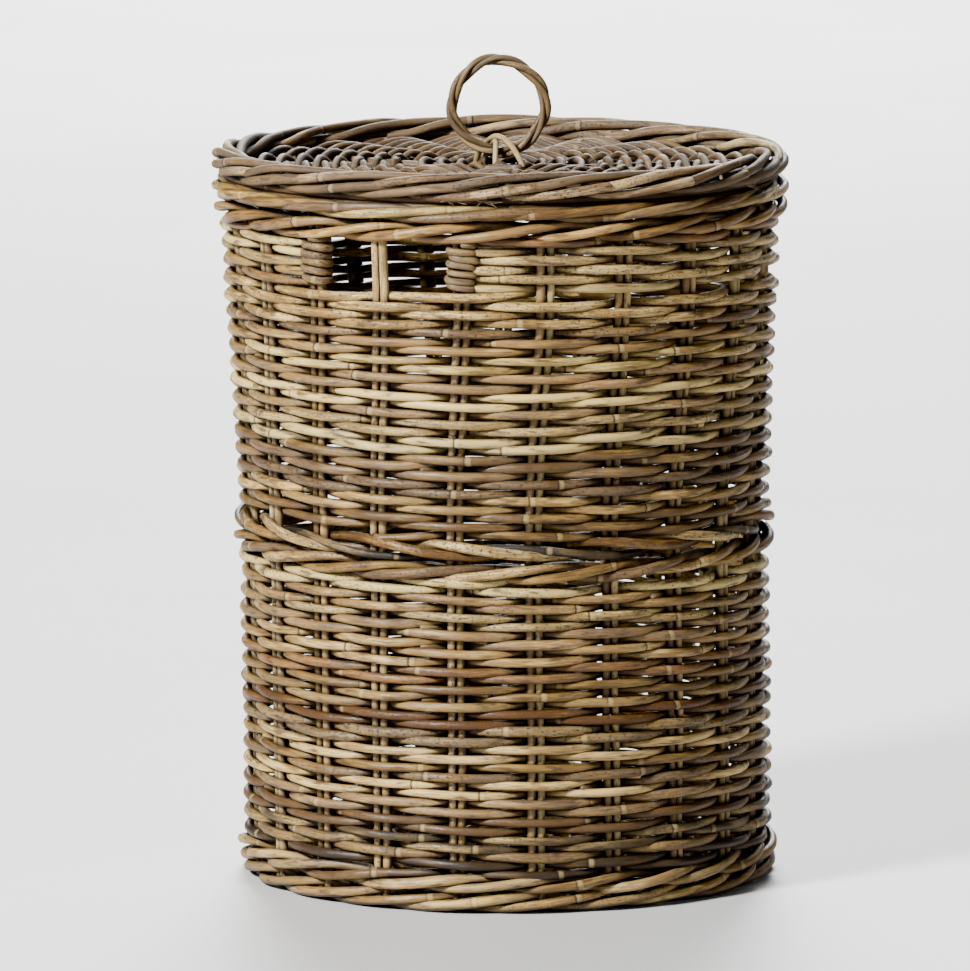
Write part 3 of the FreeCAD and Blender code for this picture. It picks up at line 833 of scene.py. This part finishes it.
def layRibs(bundle, turns, shape):
    # three ribs to a group, side by side near the middle and fanned out further on
    tone, grey = shape["ribTint"]
    each = pairs // disc["groups"]
    for rib in range(pairs):
        leader = turns[rib - rib % each + 1]
        radius = np.linspace(disc["ribsFrom"], shape["ribsTo"], disc["ribSteps"])
        fan = smooth((radius - disc["opens"]) / (disc["spread"] - disc["opens"]))
        side = (rib % each - 1) * disc["ribGap"] * disc["ribRadius"]
        turn = leader + (1.0 - fan) * side / radius + fan * (turns[rib] - leader)
        path = onCircle(turn, radius, shape["height"] + wander(radius, *disc["ribDrift"]))
        thick = disc["ribRadius"] * dice.normal(1.0, disc["radiusSpread"])
        layCane(bundle, path, thick, pickTint(tone, disc["ribToneSpread"], grey))


def weaveDisc(bundle, turns, shape):
    # a spiral from the middle outward, over and under the groups first and then over and under each rib
    tone, grey = shape["caneTint"]
    pitch = shape["pitch"]
    each = pairs // disc["groups"]
    lift = disc["ribRadius"] + disc["caneRadius"]
    grouped = (disc["inner"], disc["spread"], each, 3.0)
    single = (disc["spread"] + pitch * 0.5, shape["outer"], 1, 7.0)
    for inner, edge, group, steps in (grouped, single):
        total = (edge - inner) / pitch * pairs
        start = 0.0
        while start < total:
            end = min(start + dice.uniform(*disc["caneLength"]), total)
            count = np.arange(start, end + 0.6, 1.0 / steps)
            length = count * disc["ribLength"]
            radius = inner + pitch * count / pairs + wander(length, *disc["outDrift"])
            phase = math.pi * (count - (group - 1) / 2.0) / group
            up = lift * np.cos(phase) * (1.0 + wander(length, *disc["upDrift"]))
            fromStart = (count - start) / disc["endOver"]
            pastEnd = (count - end + disc["endIn"]) / disc["endOver"]
            up = up - (smooth(1.0 - fromStart) + smooth(pastEnd)) * disc["sink"]
            own = disc["caneRadius"] * dice.normal(1.0, disc["radiusSpread"])
            path = onCircle(turnAt(count, turns), radius, shape["height"] + up)
            thick = own * (1.0 + wander(length, *disc["radiusDrift"]))
            layCane(bundle, path, thick, pickTint(tone, disc["caneToneSpread"], grey))
            start = end


lidField = {
    "height": 0.5850, "outer": 0.2095, "pitch": 0.0080, "ribsTo": 0.2235,
    "caneTint": (0.17, 0.30), "ribTint": (0.35, 0.40),      # tone and grey
}
bundle = newBundle()
weaveDisc(bundle, lidTurns, lidField)
makePiece(bundle, "lidField", "lid_field", "lid", skins["weatheredCane"])
bundle = newBundle(cut["fewSides"])
layRibs(bundle, lidTurns, lidField)
makePiece(bundle, "lidRibs", "lid_ribs", "lid", skins["weatheredCane"])

floorTurns = wallTurns + math.radians(basket["twistDegrees"])
basketFloor = {
    "height": 0.0162, "outer": 0.1960, "pitch": 0.0078, "ribsTo": 0.2070,
    "caneTint": (0.50, 0.30), "ribTint": (0.50, 0.20),
}
bundle = newBundle()
weaveDisc(bundle, floorTurns, basketFloor)
makePiece(bundle, "basePanel", "base_panel", "basket", skins["wallCane"])
bundle = newBundle(cut["fewSides"])
layRibs(bundle, floorTurns, basketFloor)
makePiece(bundle, "baseSticks", "base_sticks", "basket", skins["stakeCane"])

collar = {
    "radius": 0.2015,
    "ropes": 3,
    "strands": 2,                 # to a rope
    "steps": 420,
    "overlap": 1.015,             # rounds that a strand runs, so its ends lap
    "twists": 31.5,               # in a round
    "cane": 0.00225,
    "offset": (0.0022, 0.0018),   # a strand's middle from its rope's middle, out and up
    # the ropes take nearly the deepest tone, which is painted shade, so they read dark in the gap under the
    # lid
    "tint": (0.02, 0.05, 0.0),
}
low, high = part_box("lid_collar")
bundle = newBundle(cut["fewSides"])
for rope in range(collar["ropes"]):
    height = low.z + (high.z - low.z) * (rope + 0.5) / collar["ropes"]
    for strand in range(collar["strands"]):
        turn = np.linspace(0.0, 2.0 * math.pi * collar["overlap"], collar["steps"])
        roll = turn * collar["twists"] + strand * math.pi
        out, up = collar["offset"]
        path = onCircle(turn, collar["radius"] + out * np.cos(roll), height + up * np.sin(roll))
        layCane(bundle, path, collar["cane"], pickTint(*collar["tint"]))
makePiece(bundle, "lidCollar", "lid_collar", "lid", skins["weatheredCane"])
print("lid and floor woven")

ring = {
    "strands": 3,
    "steps": 130,
    "overlap": 0.03,              # how much of a round it runs on past each end
    "twists": 3.0,                # in a round
    "cane": 0.00262,
    "offset": 0.0027,             # a strand's middle from the ring's middle line
    "mean": 0.0380,
    "bottom": 0.60044,            # the height of that line at its lowest
    "outOfRound": 0.0007,
    "radiusDrift": (0.5, 0.05),
    "tint": (0.5, 0.14, 0.15),
}
for strand in range(ring["strands"]):
    bundle = newBundle()
    turn = np.linspace(-ring["overlap"], 1.0 + ring["overlap"], ring["steps"]) * 2.0 * math.pi
    roll = turn * ring["twists"] + strand * 2.0 * math.pi / ring["strands"]
    radius = ring["mean"] + ring["outOfRound"] * np.cos(4.0 * turn + 0.6) + ring["offset"] * np.cos(roll)
    path = np.stack([-radius * np.sin(turn), ring["offset"] * np.sin(roll),
                     ring["bottom"] + ring["mean"] - radius * np.cos(turn)], axis=1)
    thick = ring["cane"] * (1.0 + wander(turn, *ring["radiusDrift"]))
    layCane(bundle, path, thick, pickTint(*ring["tint"]), (0.0, 1.0, 0.0))
    makePiece(bundle, f"ringStrand{strand + 1}", f"ring_strand_{strand + 1}", "ring_handle",
              skins["handleCane"])


def smoothLine(points, per=8):
    # a smooth line through a few points
    points = np.array(points, float)
    ends = np.concatenate([[2.0 * points[0] - points[1]], points, [2.0 * points[-1] - points[-2]]])
    line = []
    for before, here, there, beyond in zip(ends[:-3], ends[1:-2], ends[2:-1], ends[3:]):
        for part in np.arange(per) / per:
            bend = 2 * before - 5 * here + 4 * there - beyond + part * (3 * (here - there) + beyond - before)
            line.append(here + 0.5 * part * (there - before + part * bend))
    return np.array(line + [points[-1]])


straps = {
    # the points that each binding cane passes: x to the right, y away, height above the ring's lowest middle
    "handle_strap_lower": ("strapLower", 0.0023, (
        (-0.0035, -0.018, -0.013), (-0.0032, -0.014, -0.004), (-0.0028, -0.0085, 0.0050),
        (-0.0030, 0.0, 0.0086),
        (-0.0065, 0.0085, 0.0040), (-0.011, 0.014, -0.004), (-0.013, 0.018, -0.013))),
    "handle_strap_upper": ("strapUpper", 0.0024, (
        (0.0200, -0.022, -0.013), (0.0165, -0.018, -0.004), (0.0085, -0.0100, 0.0075),
        (-0.0015, 0.0, 0.0124),
        (-0.010, 0.0095, 0.0070), (-0.017, 0.016, -0.003), (-0.020, 0.019, -0.013))),
}
strapTint = (0.60, 0.08, 0.2)
for node, (name, radius, points) in straps.items():
    bundle = newBundle()
    line = smoothLine(points) + np.array([0.0, 0.0, ring["bottom"]])
    layCane(bundle, line, radius, pickTint(*strapTint), (1.0, 0.4, 0.0))
    makePiece(bundle, name, node, "lid", skins["bindingCane"])
print("handle bound on")

studio = {
    "floorColour": (0.60, 0.595, 0.59),
    "floorSize": 44.0,
    "aim": (-0.0155, 0.0, 0.3213),
    "distance": 8.0,
    "pitchDegrees": 8.15,
    "lens": 357.0,
    # name, watts, place, size, and what it shines at
    "lamps": (("key", 3950.0, (-5.3, -4.85, 5.2), 1.35, (0.0, 0.0, 0.3)),
              ("fill", 50.0, (3.2, -3.4, 1.4), 3.0, (0.0, 0.0, 0.3)),
              ("back", 120.0, (1.6, 4.6, 3.2), 3.0, (0.0, 0.0, 0.3)),
              ("backdrop", 2700.0, (0.0, 8.0, 4.0), 4.0, (0.0, 7.0, 0.0))),
    "worldColour": (0.96, 0.98, 1.0),
    "worldStrength": 0.07,
    "skyStrength": 0.85,          # what the eye sees past the floor
    "look": "AgX - Punchy",
}


def lookAt(thing, target):
    away = thing.location - Vector(target)
    thing.rotation_euler = away.to_track_quat("Z", "Y").to_euler()


def makeStudio():
    bpy.ops.mesh.primitive_plane_add(size=studio["floorSize"], location=(0.0, 0.0, 0.0))
    ground = bpy.context.object
    ground.name = "floor"
    paint = bpy.data.materials.new("floorPaint")
    paint.use_nodes = True
    tree = paint.node_tree
    where = put(tree, "TexCoord").outputs["Object"]
    cloud = put(tree, "TexNoise", {"Vector": where, "Scale": 1.3, "Detail": 5.0}).outputs[0]
    clean = (*studio["floorColour"], 1.0)
    dusty = (*(0.94 * part for part in studio["floorColour"]), 1.0)
    colour = blendColours(tree, ramp(tree, cloud, 0.35, 0.65), clean, dusty)
    tree.links.new(colour, tree.nodes["Principled BSDF"].inputs["Base Color"])
    tree.nodes["Principled BSDF"].inputs["Roughness"].default_value = 0.5
    ground.data.materials.append(paint)
    for name, watts, place, size, target in studio["lamps"]:
        bpy.ops.object.light_add(type="AREA", location=place)
        lamp = bpy.context.object
        lamp.name = name
        lamp.data.energy = watts
        lamp.data.size = size
        lookAt(lamp, target)
    world = bpy.data.worlds.new("studio")
    world.use_nodes = True
    background = world.node_tree.nodes["Background"]
    background.inputs["Color"].default_value = (*studio["worldColour"], 1.0)
    seen = put(world.node_tree, "LightPath").outputs["Is Camera Ray"]
    strength = maths(world.node_tree, "MULTIPLY_ADD", seen, studio["skyStrength"] - studio["worldStrength"],
                     studio["worldStrength"])
    world.node_tree.links.new(strength, background.inputs["Strength"])
    bpy.context.scene.world = world
    bpy.context.scene.view_settings.look = studio["look"]
    pitch = math.radians(studio["pitchDegrees"])
    aim = studio["aim"]
    away = studio["distance"]
    place = (aim[0], aim[1] - away * math.cos(pitch), aim[2] + away * math.sin(pitch))
    bpy.ops.object.camera_add(location=place)
    camera = bpy.context.object
    camera.data.lens = studio["lens"]
    lookAt(camera, aim)
    bpy.context.scene.camera = camera


bpy.ops.object.select_all(action="DESELECT")
makeStudio()
print("studio ready")
